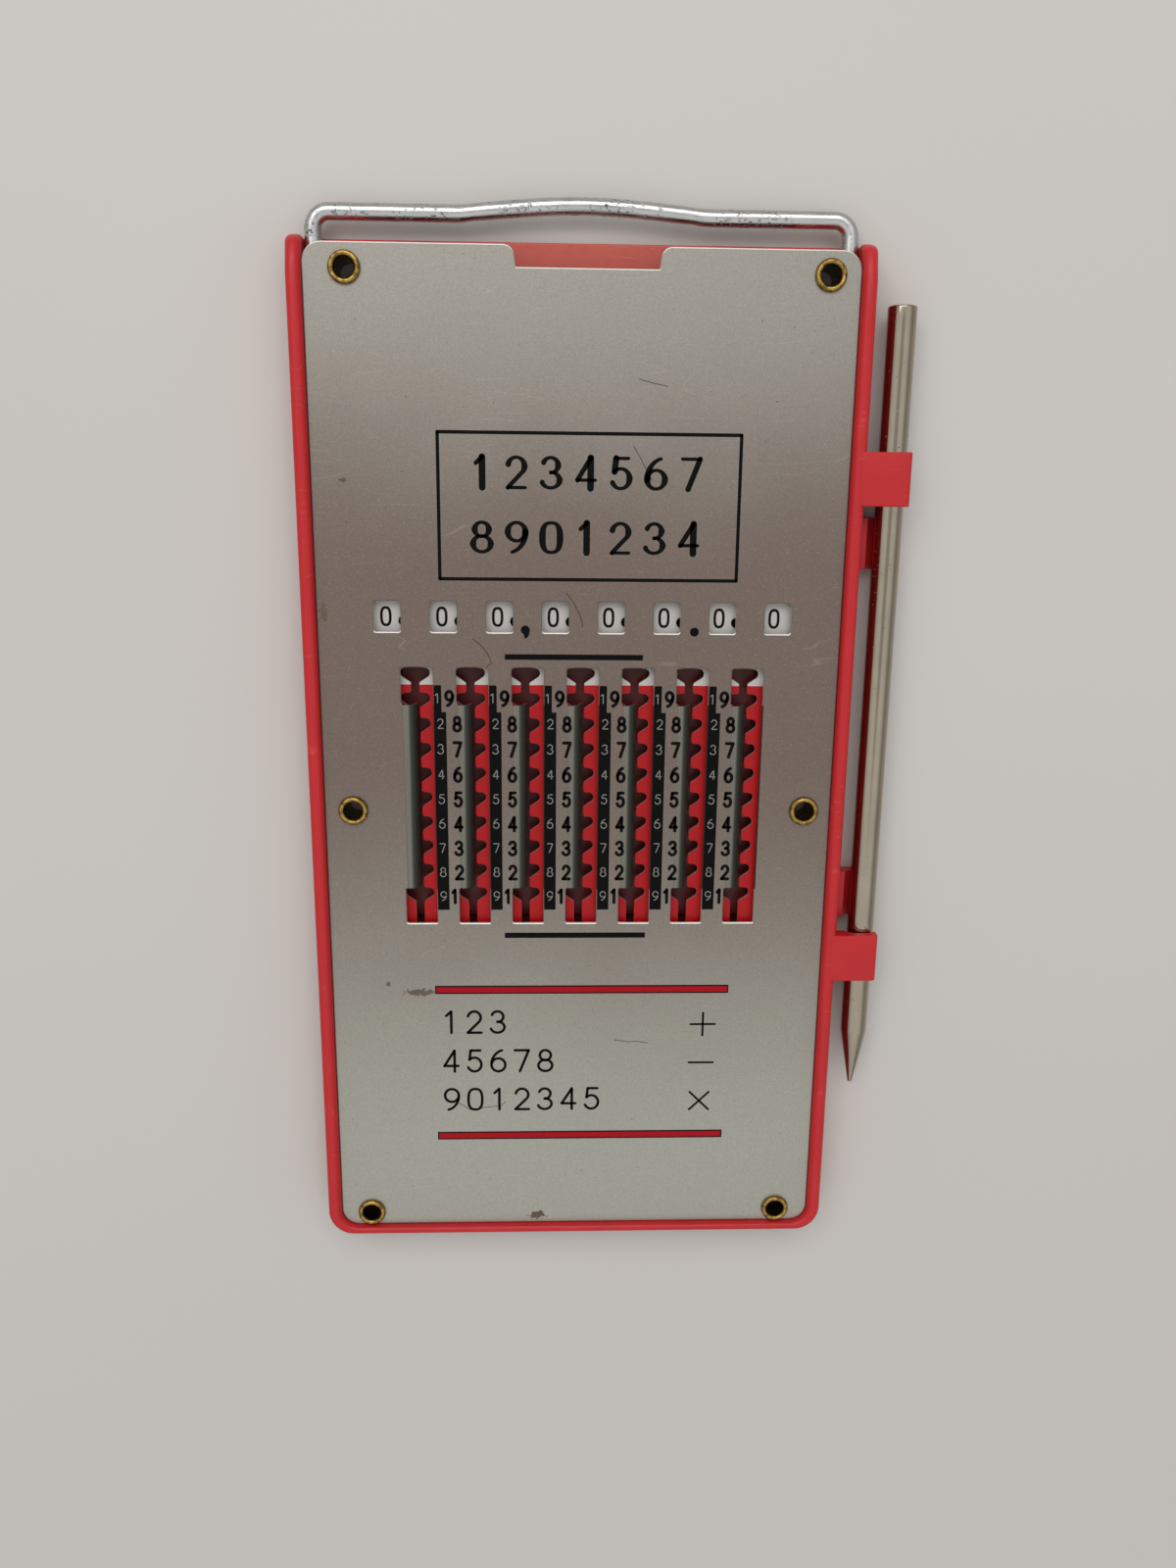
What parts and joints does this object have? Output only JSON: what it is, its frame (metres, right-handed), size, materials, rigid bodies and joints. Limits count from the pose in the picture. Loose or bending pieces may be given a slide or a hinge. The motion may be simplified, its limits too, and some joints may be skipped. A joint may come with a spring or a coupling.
{
  "type": "slide adder",
  "caption": "Pocket slide adder: red moulded tray with a punched sheet front, notched sliding strips behind slots and windows, a wire reset bail and a clipped-on stylus.",
  "frame": {"origin": "middle of the flat back of the tray", "axes": "+X across the columns to the stylus side, +Y up the columns to the bail, +Z out of the printed front"},
  "size_m": [0.0728, 0.1316, 0.006],
  "materials": {
    "red_plastic": "satin moulded red plastic",
    "front_sheet": "silver-coloured sheet with printed marks",
    "slider_enamel": "red and white enamel",
    "bail_steel": "bright plating with rust pits",
    "eyelet_brass": "tarnished brass",
    "stylus_nickel": "nickel plating"
  },
  "bodies": {
    "housing": {"case": "red_plastic", "front_plate": "front_sheet", "eyelet_top_left": "eyelet_brass", "eyelet_top_right": "eyelet_brass", "eyelet_middle_left": "eyelet_brass", "eyelet_middle_right": "eyelet_brass", "eyelet_bottom_left": "eyelet_brass", "eyelet_bottom_right": "eyelet_brass"},
    "strip_1": {"slider_1": "slider_enamel"},
    "strip_2": {"slider_2": "slider_enamel"},
    "strip_3": {"slider_3": "slider_enamel"},
    "strip_4": {"slider_4": "slider_enamel"},
    "strip_5": {"slider_5": "slider_enamel"},
    "strip_6": {"slider_6": "slider_enamel"},
    "strip_7": {"slider_7": "slider_enamel"},
    "strip_8": {"slider_8": "slider_enamel"},
    "bail": {"bail_wire": "bail_steel", "reset_bar": "bail_steel", "reset_rivet_left": "bail_steel", "reset_rivet_right": "bail_steel"},
    "pen": {"stylus": "stylus_nickel"}
  },
  "joints": [
    {"name": "slide_1", "type": "slide", "parent": "housing", "child": "strip_1", "axis": [0, 1, 0], "range_m": [-0.02857, 0]},
    {"name": "slide_2", "type": "slide", "parent": "housing", "child": "strip_2", "axis": [0, 1, 0], "range_m": [-0.02857, 0]},
    {"name": "slide_3", "type": "slide", "parent": "housing", "child": "strip_3", "axis": [0, 1, 0], "range_m": [-0.02857, 0]},
    {"name": "slide_4", "type": "slide", "parent": "housing", "child": "strip_4", "axis": [0, 1, 0], "range_m": [-0.02857, 0]},
    {"name": "slide_5", "type": "slide", "parent": "housing", "child": "strip_5", "axis": [0, 1, 0], "range_m": [-0.02857, 0]},
    {"name": "slide_6", "type": "slide", "parent": "housing", "child": "strip_6", "axis": [0, 1, 0], "range_m": [-0.02857, 0]},
    {"name": "slide_7", "type": "slide", "parent": "housing", "child": "strip_7", "axis": [0, 1, 0], "range_m": [-0.02857, 0]},
    {"name": "slide_8", "type": "slide", "parent": "housing", "child": "strip_8", "axis": [0, 1, 0], "range_m": [-0.02857, 0]},
    {"name": "bail_slide", "type": "slide", "parent": "housing", "child": "bail", "axis": [0, 1, 0], "range_m": [0, 0.02857]},
    {"name": "stylus_slide", "type": "slide", "parent": "housing", "child": "pen", "axis": [0, 1, 0], "range_m": [0, 0.085]}
  ]
}
